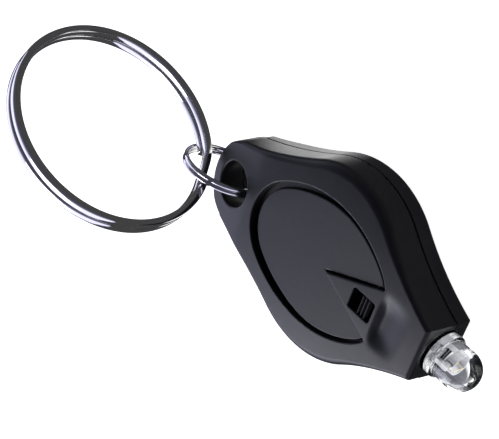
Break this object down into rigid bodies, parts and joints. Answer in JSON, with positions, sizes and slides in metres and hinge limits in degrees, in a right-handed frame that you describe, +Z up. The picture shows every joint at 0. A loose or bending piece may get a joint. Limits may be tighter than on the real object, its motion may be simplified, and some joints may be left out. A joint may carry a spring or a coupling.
{
  "type": "keychain flashlight",
  "caption": "Flat teardrop keychain flashlight with an oval press disc, a slide switch, a clear LED in the nose and split rings at the tail.",
  "frame": {"origin": "on the axis of the coin cells, at the flat back face", "axes": "+X to the LED, +Y across the body, +Z up to the press disc"},
  "size_m": [0.0641, 0.025, 0.0341],
  "materials": {
    "black_plastic": "satin charcoal black",
    "disc_plastic": "satin charcoal black",
    "pad_rubber": "soft silicone",
    "knob_plastic": "satin black",
    "spring_steel": "bright",
    "leaf_brass": "bright",
    "clear_epoxy": "clear, polished",
    "die_crystal": "yellowish",
    "bond_gold": "bright",
    "tinned_steel": "bright tin",
    "cell_steel": "bright",
    "gasket_plastic": "matte",
    "polished_chrome": "polished nickel plate"
  },
  "bodies": {
    "housing": {"front_shell": "black_plastic", "back_shell": "black_plastic", "return_pad": "pad_rubber", "led_lens": "clear_epoxy", "led_die": "die_crystal", "led_bond_wire": "bond_gold", "led_cathode_lead": "tinned_steel", "led_anode_lead": "tinned_steel", "lower_cell_can": "cell_steel", "lower_cell_cap": "cell_steel", "lower_cell_gasket": "gasket_plastic", "upper_cell_can": "cell_steel", "upper_cell_cap": "cell_steel", "upper_cell_gasket": "gasket_plastic"},
    "press_disc": {"push_disc": "disc_plastic"},
    "slide": {"slide_knob": "knob_plastic", "slide_contact": "spring_steel"},
    "leaf": {"contact_leaf": "leaf_brass"},
    "small_ring": {"jump_ring": "polished_chrome"},
    "large_ring": {"key_ring": "polished_chrome"}
  },
  "joints": [
    {"name": "disc_press", "type": "slide", "parent": "housing", "child": "press_disc", "axis": [0, 0, -1], "range_m": [0, 0.00035], "stiffness_N_per_m": 1500, "deforming": ["return_pad"]},
    {"name": "leaf_flex", "type": "hinge", "parent": "housing", "child": "leaf", "pos_m": [0.0104, 0, 0.005], "axis": [0, -1, 0], "range_deg": [0, 1.8]},
    {"name": "switch_slide", "type": "slide", "parent": "housing", "child": "slide", "axis": [1, 0, 0], "range_m": [-0.0012, 0.0004]},
    {"name": "small_ring_swing", "type": "hinge", "parent": "housing", "child": "small_ring", "pos_m": [-0.02095, -0.00033, 0.00505], "axis": [-0.015, -0.9918, 0.127], "range_deg": [-40, 75]},
    {"name": "large_ring_swivel", "type": "hinge", "parent": "small_ring", "child": "large_ring", "pos_m": [-0.02388, 0.0003, 0.00966], "axis": [0.5334, -0.1153, -0.838], "range_deg": [-1, 90]}
  ],
  "couplings": [
    {"joint": "leaf_flex", "follows": "disc_press", "rad_per_m": 86.2}
  ]
}
